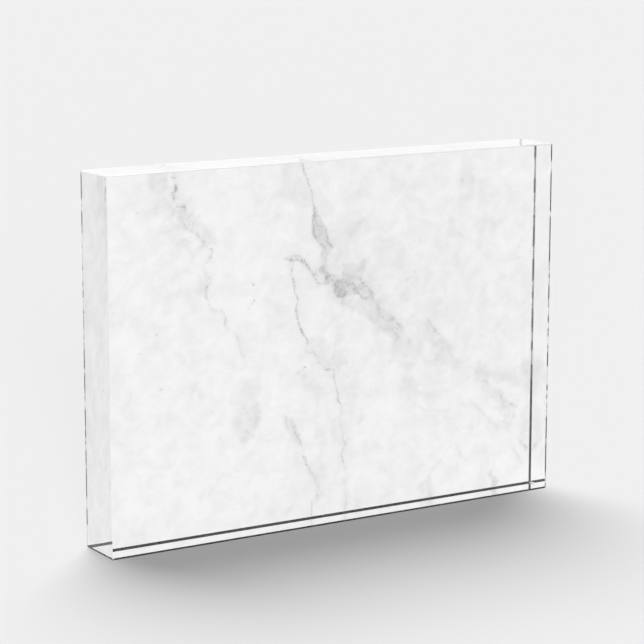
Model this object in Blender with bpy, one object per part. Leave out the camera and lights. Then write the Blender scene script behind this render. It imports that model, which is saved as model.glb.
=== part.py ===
"""Marble photo block: a clear acrylic slab with a marble-pattern print bonded behind it.

The slab stands on its long edge. The origin is the middle of the base, under the middle of
the whole depth. +Z is up, and the front, through which the print is seen, faces -Y.
"""

import bmesh
import bpy

INCH = 0.0254

# Clear slab, in the standard 7 x 5 inch print size, cut from 3/4 inch sheet
BLOCK_WIDTH = 7.0 * INCH
BLOCK_HEIGHT = 5.0 * INCH
BLOCK_DEPTH = 0.75 * INCH
EDGE_CHAMFER = 0.0005  # polished arris along all twelve edges, measured along each face

# Sheets behind the slab, from front to back
ADHESIVE_THICKNESS = 0.0001
PRINT_THICKNESS = 0.00025
BACKING_THICKNESS = 0.0005

# Room left between one bonded face and the next
BOND_CLEARANCE = 0.00002

# How far each sheet's edges lie inside the slab's flat rear face
ADHESIVE_TRIM = 0.00015
PRINT_TRIM = 0.0001
BACKING_TRIM = 0.0004

# Cut corners of the sheets
PRINT_CORNER_RADIUS = 0.0003
BACKING_CORNER_RADIUS = 0.001
CORNER_SEGMENTS = 6

# Worked out from the sizes above
SHEETS_DEPTH = ADHESIVE_THICKNESS + PRINT_THICKNESS + BACKING_THICKNESS + 3 * BOND_CLEARANCE
FRONT_Y = -(BLOCK_DEPTH + SHEETS_DEPTH) / 2
BLOCK_REAR_Y = FRONT_Y + BLOCK_DEPTH
MIDDLE_Z = BLOCK_HEIGHT / 2
REAR_FLAT_WIDTH = BLOCK_WIDTH - 2 * EDGE_CHAMFER
REAR_FLAT_HEIGHT = BLOCK_HEIGHT - 2 * EDGE_CHAMFER


def clear_scene():
    for old in list(bpy.data.objects):
        bpy.data.objects.remove(old, do_unlink=True)


def material(name, colour, roughness, transmission=0.0, ior=1.5):
    """A plain non-metal finish, clear where transmission is 1."""
    made = bpy.data.materials.new(name)
    made.use_nodes = True
    made.diffuse_color = (*colour, 1.0)
    shader = made.node_tree.nodes["Principled BSDF"]
    shader.inputs["Base Color"].default_value = (*colour, 1.0)
    shader.inputs["Metallic"].default_value = 0.0
    shader.inputs["Roughness"].default_value = roughness
    shader.inputs["Transmission Weight"].default_value = transmission
    shader.inputs["IOR"].default_value = ior
    return made


def add_object(name, shape, finish, front_y, parent):
    """Turns a bmesh centred on its own front face into a named object at that face's place."""
    mesh = bpy.data.meshes.new(name)
    shape.to_mesh(mesh)
    shape.free()
    mesh.materials.append(finish)
    made = bpy.data.objects.new(name, mesh)
    bpy.context.scene.collection.objects.link(made)
    made.location = (0.0, front_y, MIDDLE_Z)
    made.parent = parent
    return made


def upright_plate(width, height, depth, corner_radius=0.0):
    """A flat plate standing in XZ, its front face on y = 0 and its back face on y = depth."""
    shape = bmesh.new()
    corners = [
        shape.verts.new((side * width / 2, 0.0, end * height / 2))
        for side, end in ((-1, -1), (1, -1), (1, 1), (-1, 1))
    ]
    shape.faces.new(corners)
    if corner_radius > 0.0:
        bmesh.ops.bevel(
            shape,
            geom=corners,
            offset=corner_radius,
            offset_type="OFFSET",
            affect="VERTICES",
            segments=CORNER_SEGMENTS,
            profile=0.5,
        )
    front = list(shape.faces)
    back = bmesh.ops.extrude_face_region(shape, geom=front)["geom"]
    moved = [item for item in back if isinstance(item, bmesh.types.BMVert)]
    bmesh.ops.translate(shape, verts=moved, vec=(0.0, depth, 0.0))
    bmesh.ops.recalc_face_normals(shape, faces=shape.faces)
    return shape


def acrylic_block(parent):
    """Solid clear slab, with a narrow polished chamfer on every edge."""
    clear = material("clear_acrylic", (0.95, 0.96, 0.96), 0.02, transmission=1.0, ior=1.49)
    shape = upright_plate(BLOCK_WIDTH, BLOCK_HEIGHT, BLOCK_DEPTH)
    block = add_object("acrylic_block", shape, clear, FRONT_Y, parent)
    chamfer = block.modifiers.new("edge_chamfer", "BEVEL")
    chamfer.width = EDGE_CHAMFER
    chamfer.offset_type = "OFFSET"
    chamfer.segments = 1
    chamfer.limit_method = "ANGLE"
    chamfer.use_clamp_overlap = True
    return block


def rear_sheet(name, finish, front_y, thickness, trim, corner_radius, parent):
    """A thin sheet cut a little smaller than the slab's flat rear face."""
    width = REAR_FLAT_WIDTH - 2 * trim
    height = REAR_FLAT_HEIGHT - 2 * trim
    shape = upright_plate(width, height, thickness, corner_radius)
    return add_object(name, shape, finish, front_y, parent)


def rear_sheets(parent):
    """The adhesive, the print and the backing, each seated behind the one before."""
    adhesive = material("clear_adhesive", (0.96, 0.97, 0.96), 0.05, transmission=1.0, ior=1.47)
    marble = material("marble_print_paper", (0.86, 0.86, 0.865), 0.35)
    white_plastic = material("white_backing_plastic", (0.84, 0.84, 0.83), 0.55)

    adhesive_y = BLOCK_REAR_Y + BOND_CLEARANCE
    print_y = adhesive_y + ADHESIVE_THICKNESS + BOND_CLEARANCE
    backing_y = print_y + PRINT_THICKNESS + BOND_CLEARANCE

    rear_sheet(
        "optical_adhesive_film",
        adhesive,
        adhesive_y,
        ADHESIVE_THICKNESS,
        ADHESIVE_TRIM,
        PRINT_CORNER_RADIUS,
        parent,
    )
    rear_sheet(
        "marble_print",
        marble,
        print_y,
        PRINT_THICKNESS,
        PRINT_TRIM,
        PRINT_CORNER_RADIUS,
        parent,
    )
    rear_sheet(
        "rear_backing_sheet",
        white_plastic,
        backing_y,
        BACKING_THICKNESS,
        BACKING_TRIM,
        BACKING_CORNER_RADIUS,
        parent,
    )


def build():
    clear_scene()
    photo_block = bpy.data.objects.new("photo_block", None)
    bpy.context.scene.collection.objects.link(photo_block)
    acrylic_block(photo_block)
    rear_sheets(photo_block)


build()
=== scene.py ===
import math
from itertools import combinations

import bmesh
import bpy
import numpy as np
from mathutils import Matrix, Vector, noise


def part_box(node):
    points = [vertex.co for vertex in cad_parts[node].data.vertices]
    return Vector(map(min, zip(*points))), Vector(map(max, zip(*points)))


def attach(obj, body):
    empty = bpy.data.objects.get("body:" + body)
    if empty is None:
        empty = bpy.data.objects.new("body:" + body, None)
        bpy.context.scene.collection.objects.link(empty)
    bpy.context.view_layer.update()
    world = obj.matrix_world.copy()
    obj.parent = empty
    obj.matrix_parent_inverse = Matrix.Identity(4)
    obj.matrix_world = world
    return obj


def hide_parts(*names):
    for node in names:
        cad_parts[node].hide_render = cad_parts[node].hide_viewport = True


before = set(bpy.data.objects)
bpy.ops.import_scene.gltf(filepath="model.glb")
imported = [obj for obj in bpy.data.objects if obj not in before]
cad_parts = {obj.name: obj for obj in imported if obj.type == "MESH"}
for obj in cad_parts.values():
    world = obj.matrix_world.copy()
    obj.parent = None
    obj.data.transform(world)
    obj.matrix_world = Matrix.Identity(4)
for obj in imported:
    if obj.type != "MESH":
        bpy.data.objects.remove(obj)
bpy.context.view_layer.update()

MM = 0.001

# Camera, in metres and degrees, fitted to the block's corners and edges
CAMERA_PLACE = (-0.4258, -0.6796, 0.2217)
CAMERA_AZIMUTH = -31.953
CAMERA_ELEVATION = 10.759
CAMERA_ROLL = 0.077
FOCAL_PIXELS = 2362.8
PICTURE_PIXELS = 644
SENSOR_WIDTH = 36.0
CLIP_RANGE = (0.05, 40.0)

# Studio: azimuths turn from +Y towards +X, and each share is what a lamp adds to the open floor
PALE_GREY = 0.871
BRIGHT_SKY = 1.05
DARK_CEILING = 0.04
CEILING_STARTS, CEILING_FULL = 0.35, 0.6
FLOOR_RADIUS, FLOOR_CORNERS = 12.0, 64
FLOOR_GAP = 0.1 * MM
FLOOR_GREY = 0.871
KEY_LAMP = {"azimuth": 15.0, "elevation": 55.0, "angle": 40.0, "share": 0.62}
FILL_LAMP = {"azimuth": -150.0, "elevation": 14.0, "angle": 24.0, "share": 0.11}
SKY_SHARE = 0.27

# Clear slab; it bites a little into the print, as the bond leaves no air between them
SIDES = (("left", "right"), ("front", "rear"), ("base", "top"))
FLAT_SLOT, END_SLOT, EDGE_SLOT = 0, 1, 2
SQUARE_ON, LEANING = 0.99, 0.2
EDGE_WIDTH = 0.5 * MM
EDGE_FACETS = 2
PRINT_BITE = 0.02 * MM
NEAR = 0.01 * MM
CLEAR_IOR = 1.6
END_IOR = 1.75
# The ends' grey tint is painted shade, so that the print seen through them reads darker
END_SHADE_TINT = 0.81
END_GLOSS = 0.0
SHARP_EDGE_SHARE = 0.2
SHARP_EDGE_ENDS = 1.2 * MM

# Narrow facets along the slab's edges, painted dark as shade and as dark reflections, by the face that each
# leans to
# and the face it runs beside: how dark it is all along, how dark in dashes, and how dark near the foot only
CLEAR, DARK = (0.0, 0.0, 0.0), (1.0, 0.0, 0.0)
EDGE_SHADES = {
    ("rear", "base"): DARK,
    ("base", "rear"): DARK,
    ("front", "base"): DARK,
    ("base", "front"): DARK,
    ("left", "base"): DARK,
    ("base", "left"): DARK,
    ("rear", "right"): (0.35, 0.5, 0.9),
    ("right", "rear"): DARK,
    ("front", "right"): (0.3, 0.7, 0.0),
    ("front", "top"): (0.15, 0.0, 0.0),
    ("top", "front"): (0.15, 0.0, 0.0),
    ("top", "rear"): (0.0, 0.6, 0.0),
}
# Strips of the flat faces painted dark as shade and dark reflections: the edge they run along, width, faces
# and shade
EDGE_STRIPS = (
    ("rear", 0.65 * MM, ("left",), (0.3, 0.7, 0.0)),
    ("right", 0.25 * MM, ("front",), (0.05, 0.95, 0.0)),
    ("base", 0.3 * MM, ("left", "front"), DARK),
)
FACET_ROUGHNESS = 0.3
FACET_GREY = 0.02
FOOT_FULL, FOOT_ENDS = 26.0, 40.0

# Print: its grid and corners in metres, and how its veins and grey fields are drawn, in millimetres
PRINT_GRID = 0.7 * MM
PRINT_CORNER, PRINT_CORNER_FACETS = 0.3 * MM, 3
MARBLE_WHITE, MARBLE_ROUGHNESS = 0.964, 0.55
PAPER_WHITE, PAPER_ROUGHNESS = 0.86, 0.8
CURVE_STEPS = 3
VEIN_REACH, VEIN_MARGIN = 9.0, 0.6
SPECK_LENGTH = 0.05
CORE_SHARE = 0.8
SKIRT_DARKNESS, SKIRT_FALL = 0.16, 0.6
WANDER_REACH, TREMBLE_REACH = 1.5, 1.0
LOOSE_STEPS = ((7.0, 1.8), (2.2, 0.8))  # size and reach of each push on the fields and patches
NOISE_SEED = 7  # keeps those pushes the same on each run
FRAY_SIZE, FRAY_REACH, FIELD_BLUR = 2.8, 1.3, 1.2
FINE_FRAY_SIZE, FINE_FRAY_SHARE = 0.4 * FRAY_SIZE, 0.6
FRAY_LEVEL, FINE_FRAY_LEVEL = 50.0, 90.0
MOTTLE_DARKNESS = 0.36
DARKEST = 0.6

# Backing sheet: tone, and strength and depth of its grain
BACKING_WHITE = 0.8
BACKING_IOR = 1.5
BACKING_BUMP, BACKING_RELIEF = 0.35, 0.05 * MM

# Noises: size of the lumps in millimetres, detail, roughness, and distortion where there is some
DASH_NOISE = (9.0, 3.0, 0.6)
PAINTED_SHADE_NOISE = (1.3, 2.0, 0.6)
WANDER_NOISE = (3.4, 2.0, 0.6)
TREMBLE_NOISE = (0.9, 2.0, 0.6)
BEAD_NOISE = (1.1, 2.0, 0.7)
PATCH_NOISE = (2.4, 4.0, 0.72, 0.5)
GRAIN_NOISE = (0.8, 2.0, 0.7)
MOTTLE_NOISE = (8.0, 7.0, 0.7, 0.4)
FIBRE_NOISE = (0.5, 3.0, 0.7)
MOULD_NOISE = (0.45, 2.0, 0.6)
HAZE_NOISE = (18.0, 3.0, 0.6)

# Ramps on the noises: from and to, and what these become where it isn't 0 and 1
DASH_RAMP = (0.44, 0.52)
PAINTED_SHADE_RAMP = (0.38, 0.68, 0.2, 3.5)
BEAD_RAMP = (0.38, 0.62, 0.3, 1.55)
PATCH_RAMP = (0.3, 0.7, 0.5, 1.5)
GRAIN_RAMP = (0.42, 0.66, 0.0, 1.6)
FIBRE_RAMP = (0.3, 0.7, 0.96 * PAPER_WHITE, PAPER_WHITE)
MOULD_RAMP = (0.3, 0.7, -0.015, 0.015)
HAZE_RAMP = (0.3, 0.7, -0.012, 0.012)
SHEEN_RAMP = (0.3, 0.7, 0.42, 0.58)

# Marble veins: points of x, height, half width and darkness, in millimetres from the
# middle of the base
LONG_VEINS = (
    # main vein, from the top edge down to the knot
    ((-9.8, 127.0, 0.5, 0.2), (-9.5, 125.2, 0.5, 0.2), (-9.1, 123.6, 0.5, 0.23), (-8.6, 121.4, 0.6, 0.24),
     (-7.6, 119.7, 0.5, 0.19), (-6.6, 117.7, 0.6, 0.18), (-5.9, 116.3, 0.5, 0.17), (-5.7, 113.7, 0.6, 0.24),
     (-5.1, 112.2, 0.4, 0.16), (-4.8, 110.4, 0.5, 0.16), (-4.6, 108.2, 0.7, 0.18), (-4.9, 105.8, 0.8, 0.24),
     (-5.2, 103.8, 0.7, 0.28), (-5.1, 101.5, 0.7, 0.22), (-4.2, 99.2, 0.7, 0.2), (-3.1, 97.5, 0.7, 0.17),
     (-2.2, 96.1, 0.7, 0.09), (-1.6, 94.4, 0.8, 0.06), (-1.5, 91.5, 0.8, 0.06)),
    # thin vein that falls from the hook to the base
    ((-13.1, 90.4, 0.4, 0.08), (-13.6, 88.1, 0.5, 0.2), (-13.9, 86.9, 0.4, 0.14), (-13.2, 85.6, 0.5, 0.24),
     (-12.6, 83.2, 0.6, 0.26), (-12.4, 81.0, 0.5, 0.28), (-11.5, 78.8, 0.5, 0.2), (-11.4, 76.6, 0.5, 0.26),
     (-11.8, 74.0, 0.5, 0.24), (-11.3, 71.4, 0.5, 0.2), (-10.5, 69.0, 0.6, 0.23), (-9.7, 66.6, 0.7, 0.34),
     (-9.4, 65.8, 0.6, 0.3), (-8.5, 64.9, 0.5, 0.16), (-7.6, 63.8, 0.5, 0.28), (-7.4, 62.8, 0.5, 0.26),
     (-7.7, 61.4, 0.5, 0.07), (-8.0, 60.3, 0.5, 0.08), (-6.9, 59.1, 0.6, 0.14), (-5.7, 58.9, 0.5, 0.08),
     (-4.6, 58.7, 0.7, 0.15), (-3.6, 56.6, 0.5, 0.05), (-2.7, 55.3, 0.7, 0.14), (-1.5, 54.0, 0.5, 0.05),
     (-0.5, 53.0, 0.5, 0.08), (0.7, 52.2, 0.6, 0.3), (1.9, 52.2, 0.6, 0.18), (2.9, 51.8, 0.6, 0.2),
     (3.5, 50.8, 0.6, 0.2), (3.5, 49.0, 0.6, 0.16), (3.9, 47.0, 0.5, 0.14), (4.4, 45.0, 0.5, 0.17),
     (4.7, 43.0, 0.6, 0.2), (4.9, 41.4, 0.6, 0.2), (5.4, 40.1, 0.6, 0.24), (6.3, 39.2, 0.6, 0.14),
     (6.2, 37.0, 0.7, 0.07), (6.3, 33.0, 0.7, 0.06), (6.8, 29.4, 0.6, 0.07), (7.0, 27.4, 0.6, 0.06),
     (7.7, 25.9, 0.6, 0.13), (8.3, 24.6, 0.7, 0.1), (7.4, 23.4, 0.6, 0.11), (6.7, 22.2, 0.6, 0.13),
     (6.7, 20.8, 0.6, 0.14), (7.2, 18.8, 0.6, 0.17), (7.7, 17.0, 0.6, 0.09), (8.5, 15.8, 0.7, 0.08),
     (8.3, 13.0, 0.8, 0.05), (8.0, 9.6, 0.8, 0.045), (8.5, 6.0, 0.8, 0.05), (8.7, 4.4, 0.8, 0.08),
     (8.0, 2.4, 0.8, 0.07), (7.7, 0.6, 0.7, 0.1)),
    # lower vein, left of the middle
    ((-13.8, 36.8, 0.9, 0.06), (-13.4, 34.8, 0.9, 0.09), (-12.5, 32.4, 0.9, 0.12), (-11.6, 30.8, 0.9, 0.15),
     (-11.1, 29.6, 0.9, 0.14), (-10.5, 28.0, 0.7, 0.14), (-9.8, 26.4, 0.5, 0.11), (-9.3, 25.2, 0.5, 0.06),
     (-9.3, 23.4, 0.5, 0.08), (-9.1, 22.7, 0.5, 0.2), (-8.4, 21.5, 0.6, 0.22), (-7.7, 20.0, 0.6, 0.22),
     (-7.2, 18.5, 0.6, 0.16), (-6.2, 16.8, 0.9, 0.11), (-5.0, 15.0, 0.9, 0.1), (-3.8, 12.6, 0.8, 0.1),
     (-3.1, 10.4, 0.7, 0.07), (-2.0, 8.8, 0.7, 0.05)),
    # left vein: two dark spots near the top edge
    ((-58.5, 126.0, 0.4, 0.06), (-58.5, 123.3, 0.4, 0.1), (-58.3, 121.4, 0.4, 0.1), (-58.1, 120.2, 0.8, 0.46),
     (-58.2, 119.2, 0.7, 0.4), (-59.2, 118.5, 0.4, 0.2), (-59.3, 117.4, 0.4, 0.22), (-59.0, 116.5, 0.6, 0.34),
     (-58.6, 115.2, 0.4, 0.1), (-57.6, 113.9, 0.5, 0.2), (-56.2, 113.5, 0.6, 0.26), (-55.3, 113.5, 0.9, 0.44),
     (-54.8, 112.9, 0.6, 0.2), (-54.4, 112.2, 0.4, 0.05)),
    # left vein: the faint line along the feather, and down from it
    ((-55.4, 109.4, 0.4, 0.04), (-55.0, 107.6, 0.5, 0.09), (-54.4, 106.8, 0.5, 0.09),
     (-53.6, 105.8, 0.5, 0.06), (-52.2, 105.0, 0.5, 0.06), (-50.2, 103.9, 0.5, 0.06),
     (-48.5, 102.1, 0.5, 0.06), (-47.4, 101.0, 0.5, 0.06), (-46.3, 98.9, 0.5, 0.04),
     (-44.8, 98.4, 0.5, 0.06), (-45.2, 95.8, 0.7, 0.07), (-46.4, 94.6, 0.7, 0.07), (-48.0, 93.3, 0.7, 0.05),
     (-47.2, 90.4, 0.6, 0.06), (-46.0, 88.9, 0.6, 0.11), (-45.2, 87.4, 0.6, 0.12),
     (-45.7, 86.3, 0.5, 0.12), (-46.8, 85.5, 0.6, 0.22), (-46.8, 84.0, 0.6, 0.26), (-47.0, 82.5, 0.6, 0.2),
     (-46.1, 81.0, 0.6, 0.1), (-46.0, 79.6, 0.6, 0.09), (-45.0, 78.3, 0.7, 0.11), (-43.8, 77.6, 0.6, 0.07),
     (-42.2, 77.7, 0.7, 0.08), (-41.0, 76.8, 0.8, 0.1), (-40.2, 75.6, 0.7, 0.08), (-39.5, 73.7, 0.7, 0.15),
     (-39.6, 72.5, 0.7, 0.18), (-39.8, 71.5, 0.5, 0.1), (-38.2, 70.6, 0.5, 0.03), (-36.8, 69.2, 0.5, 0.04),
     (-35.8, 68.2, 0.6, 0.09), (-35.0, 67.2, 0.7, 0.1), (-34.8, 65.8, 0.6, 0.06), (-34.4, 63.8, 0.6, 0.05),
     (-33.8, 62.2, 0.6, 0.05), (-32.7, 60.4, 0.8, 0.06)),
    # right lower vein
    ((66.4, 40.1, 0.5, 0.04), (67.8, 40.6, 0.6, 0.12), (69.0, 39.8, 0.6, 0.12), (69.6, 39.0, 0.5, 0.05),
     (71.8, 37.6, 0.6, 0.04), (74.4, 35.6, 0.6, 0.06), (75.2, 34.2, 0.8, 0.12), (75.8, 33.0, 0.7, 0.09),
     (77.4, 32.2, 0.6, 0.07), (78.8, 31.4, 0.6, 0.13), (80.0, 30.8, 0.6, 0.18), (81.2, 30.2, 0.6, 0.12),
     (83.6, 29.0, 0.7, 0.04)),
    # faint peak near the base
    ((44.0, 8.6, 0.8, 0.06), (46.0, 11.2, 0.6, 0.06), (48.2, 12.9, 0.6, 0.055), (50.5, 15.2, 0.6, 0.055),
     (52.2, 17.4, 0.6, 0.05), (54.0, 19.0, 0.6, 0.045), (55.6, 17.4, 0.8, 0.05), (57.2, 15.0, 0.9, 0.055),
     (59.4, 12.2, 0.9, 0.02)),
)
CROSSING_VEINS = (
    # right strand of the main vein, and the line inside the lens
    ((-3.8, 109.5, 0.4, 0.05), (-2.7, 106.5, 0.5, 0.07), (-2.0, 105.2, 0.6, 0.1), (-0.6, 102.8, 0.6, 0.15),
     (0.2, 101.0, 0.6, 0.17), (0.7, 98.3, 0.6, 0.19), (1.7, 96.4, 0.6, 0.2), (2.8, 95.1, 0.5, 0.1)),
    ((-3.7, 103.0, 0.5, 0.1), (-1.3, 103.0, 0.5, 0.1)),
    # short dash across the left vein, near the top edge
    ((-59.4, 123.5, 0.35, 0.26), (-57.9, 123.5, 0.35, 0.26)),
    # hook that runs down into the knot, and the arc over it
    ((-16.4, 93.0, 0.5, 0.1), (-15.4, 92.5, 0.6, 0.2), (-14.3, 92.3, 0.9, 0.36), (-13.3, 91.8, 0.6, 0.2),
     (-12.4, 92.4, 0.6, 0.2), (-11.3, 92.0, 0.6, 0.2), (-10.3, 91.4, 0.6, 0.24), (-9.2, 91.2, 0.8, 0.34),
     (-7.8, 89.8, 0.7, 0.28), (-6.6, 88.4, 0.7, 0.28), (-5.8, 87.4, 0.6, 0.24), (-4.4, 85.5, 0.6, 0.22),
     (-3.8, 84.4, 0.6, 0.2), (-3.2, 83.2, 0.6, 0.22), (-2.1, 82.9, 0.6, 0.18), (-0.8, 82.6, 0.6, 0.18),
     (1.0, 82.8, 0.6, 0.12)),
    ((-14.4, 92.9, 0.5, 0.14), (-13.2, 93.5, 0.6, 0.2), (-12.0, 93.7, 0.6, 0.2), (-10.8, 93.2, 0.6, 0.2),
     (-9.6, 92.0, 0.5, 0.14)),
    ((-3.2, 83.2, 0.5, 0.14), (-3.2, 81.6, 0.5, 0.12)),
    # left end of the knot: a small triangle and short strands beside it
    ((-2.5, 87.1, 0.5, 0.16), (-1.9, 88.7, 0.5, 0.2), (-1.2, 86.7, 0.6, 0.26), (-2.5, 87.1, 0.5, 0.16)),
    ((-0.9, 90.2, 0.4, 0.1), (-0.7, 88.4, 0.4, 0.14)),
    ((0.1, 90.4, 0.4, 0.08), (0.5, 87.2, 0.4, 0.14), (0.6, 85.6, 0.7, 0.3), (0.4, 84.4, 0.7, 0.26)),
    ((1.6, 86.1, 0.4, 0.14), (3.2, 85.5, 0.5, 0.16)),
    # top edge, middle and lower edge of the knot
    ((1.2, 83.4, 0.6, 0.12), (3.0, 83.8, 0.6, 0.12), (5.2, 83.4, 0.6, 0.12), (7.2, 82.8, 0.6, 0.14),
     (8.6, 82.4, 0.6, 0.12), (9.7, 81.2, 0.6, 0.14)),
    ((3.8, 82.0, 0.9, 0.14), (4.4, 80.8, 0.9, 0.14)),
    ((3.6, 80.6, 0.5, 0.1), (4.1, 78.3, 0.5, 0.16), (5.4, 77.8, 0.5, 0.14), (6.8, 77.5, 0.6, 0.18),
     (7.8, 78.6, 0.7, 0.26), (8.4, 79.4, 0.5, 0.12)),
    # right end of the knot
    ((10.6, 82.4, 0.6, 0.12), (11.8, 81.2, 0.6, 0.14), (11.4, 79.7, 0.7, 0.22), (12.6, 79.9, 0.5, 0.14),
     (13.4, 78.3, 0.6, 0.2), (13.8, 77.5, 0.6, 0.24), (15.1, 76.5, 0.5, 0.16), (16.4, 76.0, 0.5, 0.15),
     (18.0, 76.4, 0.5, 0.12), (19.6, 75.6, 0.7, 0.26)),
    ((14.2, 82.4, 0.6, 0.12), (15.6, 80.8, 0.8, 0.26), (16.8, 80.2, 0.5, 0.14), (17.7, 79.2, 0.5, 0.12),
     (18.7, 78.3, 0.7, 0.16), (19.6, 77.0, 0.5, 0.14), (20.0, 75.7, 0.5, 0.14)),
    ((11.0, 79.0, 0.5, 0.08), (12.6, 77.8, 0.5, 0.08)),
    # upright lines in the grey above the knot
    ((7.2, 91.0, 0.4, 0.02), (7.1, 85.5, 0.4, 0.1), (7.1, 82.6, 0.4, 0.14)),
    ((15.0, 88.8, 0.6, 0.06), (14.8, 85.0, 0.7, 0.08), (14.4, 82.6, 0.7, 0.1)),
    # strands and spots of the diagonal band below the knot
    ((20.9, 73.6, 0.7, 0.1), (21.6, 72.6, 0.8, 0.12), (22.5, 71.7, 0.7, 0.1)),
    ((18.2, 68.6, 0.9, 0.08), (19.2, 67.4, 0.9, 0.07)),
    ((22.2, 69.1, 0.7, 0.08), (23.9, 68.4, 0.7, 0.09)),
    ((25.6, 66.8, 0.9, 0.1), (26.9, 67.5, 1.1, 0.19), (28.3, 68.0, 0.9, 0.17), (28.9, 66.4, 0.6, 0.06)),
    ((28.8, 66.3, 0.6, 0.08), (30.2, 65.3, 0.7, 0.13), (31.2, 64.4, 0.7, 0.04)),
    ((22.6, 65.3, 0.7, 0.06), (23.9, 64.9, 0.7, 0.07)),
    ((25.0, 64.1, 0.7, 0.08), (26.6, 64.2, 0.8, 0.13), (28.2, 63.2, 0.8, 0.13), (29.2, 61.6, 0.7, 0.08),
     (30.2, 60.6, 0.7, 0.12), (28.8, 59.6, 0.6, 0.05)),
    ((34.2, 59.6, 0.8, 0.06), (34.9, 58.9, 1.0, 0.1), (35.4, 57.8, 0.7, 0.05)),
    # streak above the grey wedge
    ((41.2, 67.2, 0.8, 0.02), (43.1, 65.4, 0.8, 0.04), (44.6, 63.2, 0.7, 0.08), (45.8, 61.6, 0.9, 0.19),
     (47.2, 60.4, 0.6, 0.1), (48.6, 59.5, 0.6, 0.06)),
    # second start of the lower vein, its foot, and a slant line beside it
    ((-16.4, 37.2, 0.6, 0.07), (-16.2, 35.6, 0.7, 0.12), (-15.6, 34.0, 0.7, 0.09), (-14.6, 33.0, 0.7, 0.05)),
    ((-3.5, 9.4, 0.6, 0.1), (-3.4, 7.4, 0.7, 0.14), (-3.1, 6.0, 0.6, 0.06)),
    ((-5.9, 6.2, 0.5, 0.08), (-5.8, 4.4, 0.6, 0.16), (-5.7, 2.6, 0.6, 0.13), (-5.7, 0.8, 0.6, 0.1)),
    ((-16.0, 3.0, 0.6, 0.03), (-13.6, 6.0, 0.7, 0.04), (-11.2, 9.0, 0.6, 0.03)),
    # faint pair of lines between the band and the thin vein
    ((5.4, 70.2, 0.5, 0.03), (5.1, 67.0, 0.5, 0.05), (4.5, 63.0, 0.6, 0.05), (3.4, 58.6, 0.6, 0.07),
     (2.4, 55.0, 0.6, 0.07), (1.8, 53.6, 0.5, 0.06)),
    ((6.6, 67.0, 0.5, 0.03), (5.8, 61.6, 0.5, 0.03), (4.6, 58.4, 0.5, 0.03)),
    # right lower side: fan, long soft line and short lines
    ((77.0, 29.6, 0.7, 0.05), (77.2, 27.0, 0.7, 0.04), (77.0, 24.2, 0.8, 0.02)),
    ((78.6, 29.8, 0.7, 0.06), (78.7, 26.0, 0.7, 0.05)),
    ((81.2, 29.8, 0.6, 0.06), (81.2, 25.8, 0.6, 0.05)),
    ((58.4, 33.2, 1.2, 0.03), (61.0, 33.0, 1.2, 0.04), (63.4, 32.4, 1.1, 0.05), (65.4, 31.2, 0.8, 0.06),
     (67.4, 28.6, 0.9, 0.09), (69.6, 26.5, 0.9, 0.08), (71.6, 24.5, 1.0, 0.06), (73.2, 22.6, 1.1, 0.05),
     (74.4, 21.0, 1.1, 0.03)),
    ((80.0, 15.4, 0.7, 0.04), (81.2, 13.8, 0.7, 0.09), (82.4, 12.2, 0.7, 0.1), (83.4, 10.8, 0.7, 0.09),
     (84.4, 8.9, 0.8, 0.05), (85.6, 7.1, 0.8, 0.03)),
    ((84.2, 16.2, 0.8, 0.07), (85.6, 14.9, 0.9, 0.11), (86.8, 13.8, 0.9, 0.17), (87.8, 12.6, 0.9, 0.16)),
    ((53.2, 26.8, 0.8, 0.03), (55.0, 25.0, 0.8, 0.05), (56.9, 23.3, 0.8, 0.03)),
    ((46.4, 24.4, 0.6, 0.04), (47.9, 21.4, 0.6, 0.05)),
    ((61.2, 18.7, 0.6, 0.03), (63.2, 17.6, 0.6, 0.04), (65.4, 16.9, 0.5, 0.03)),
    ((37.4, 36.9, 0.7, 0.04), (39.7, 34.0, 0.7, 0.05), (46.0, 32.5, 0.7, 0.04), (50.0, 31.6, 0.7, 0.03)),
    # upper right: slanting smoke, two arcs and a short line
    ((11.0, 99.2, 1.2, 0.05), (12.4, 101.0, 1.2, 0.05), (14.0, 102.8, 1.2, 0.045), (16.6, 105.0, 1.2, 0.04),
     (19.4, 107.1, 1.1, 0.03)),
    ((34.7, 92.6, 0.6, 0.05), (35.6, 94.1, 0.6, 0.06), (37.6, 94.5, 0.6, 0.04), (39.6, 93.9, 0.6, 0.03)),
    ((54.8, 95.9, 0.6, 0.05), (56.8, 95.3, 0.6, 0.07), (58.2, 94.0, 0.7, 0.05)),
    ((65.3, 58.1, 0.5, 0.05), (66.4, 57.8, 0.5, 0.06), (67.6, 57.2, 0.5, 0.04)),
)

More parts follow.
